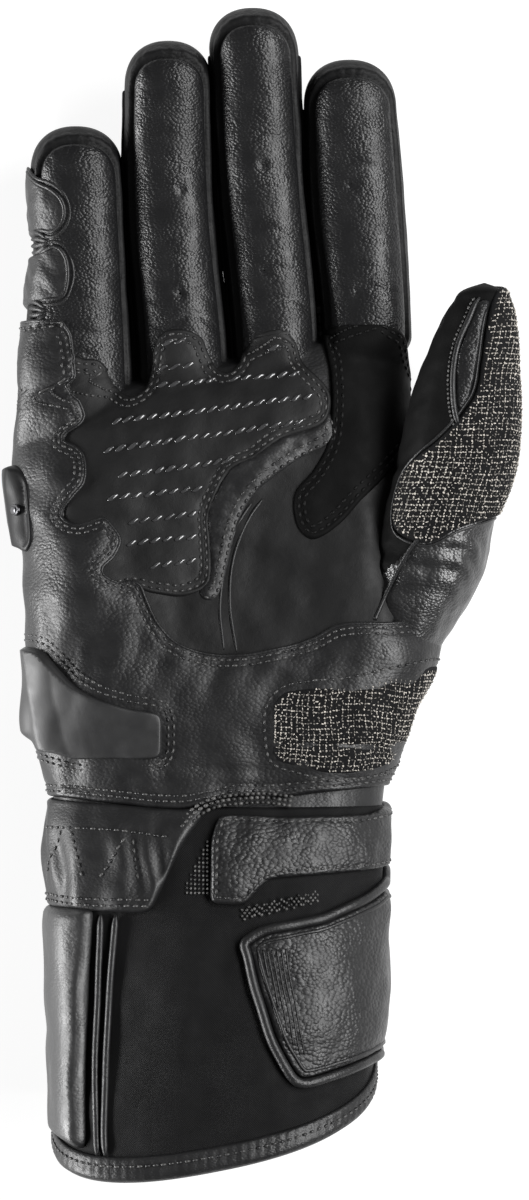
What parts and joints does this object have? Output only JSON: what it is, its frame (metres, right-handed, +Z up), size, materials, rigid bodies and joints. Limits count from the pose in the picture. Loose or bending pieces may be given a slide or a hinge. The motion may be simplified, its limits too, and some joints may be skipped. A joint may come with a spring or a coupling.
{
  "type": "motorcycle glove",
  "caption": "Right-hand motorcycle glove with a long cuff, leather palm and fingers, woven grip panels, moulded palm slider, and hook-and-loop wrist and cuff straps.",
  "frame": {"origin": "under the middle of the glove's bounding box, on the surface that it lies on", "axes": "+Y from the cuff to the fingertips, +X towards the thumb, +Z up out of the palm"},
  "size_m": [0.1446, 0.3276, 0.0586],
  "materials": {
    "leather": "black full-grain leather with a soft sheen",
    "suede": "matt black suede, the palm one with raised rubbery dashes",
    "stretch": "thin black stretch leather between the fingers",
    "woven_grip": "rough woven cloth in grey, off-white and black",
    "cuff_cloth": "dense matt black cloth",
    "binding": "smooth black rolled edge with a stitch line",
    "moulded_plastic": "satin black moulded plastic",
    "rivet_steel": "blackened steel"
  },
  "bodies": {
    "root": {"palm_leather": "leather", "back_leather": "leather", "thumb_leather": "leather", "little_front": "leather", "little_back": "leather", "ring_front": "leather", "ring_back": "leather", "middle_front": "leather", "middle_back": "leather", "index_front": "leather", "index_back": "leather", "fourchette_little_ring": "stretch", "fourchette_ring_middle": "stretch", "fourchette_middle_index": "stretch", "cuff_front": "cuff_cloth", "cuff_back": "leather", "cuff_hem_binding": "binding", "heel_leather": "leather", "palm_grip_patch": "suede", "palm_crescent": "leather", "palm_inset": "suede", "index_patch": "suede", "heel_grip_panel": "woven_grip", "thumb_grip_panel": "woven_grip", "thumb_side_strip": "leather", "little_scallop_upper": "leather", "little_scallop_lower": "leather", "palm_slider": "moulded_plastic", "edge_slider": "moulded_plastic", "edge_slider_rivet": "rivet_steel", "wrist_panel": "leather", "wrist_strap": "leather", "cuff_strap": "leather", "cuff_strap_binding": "binding", "cuff_side_pad": "leather", "cuff_welt_outer": "binding", "cuff_welt_inner": "binding"}
  },
  "joints": []
}
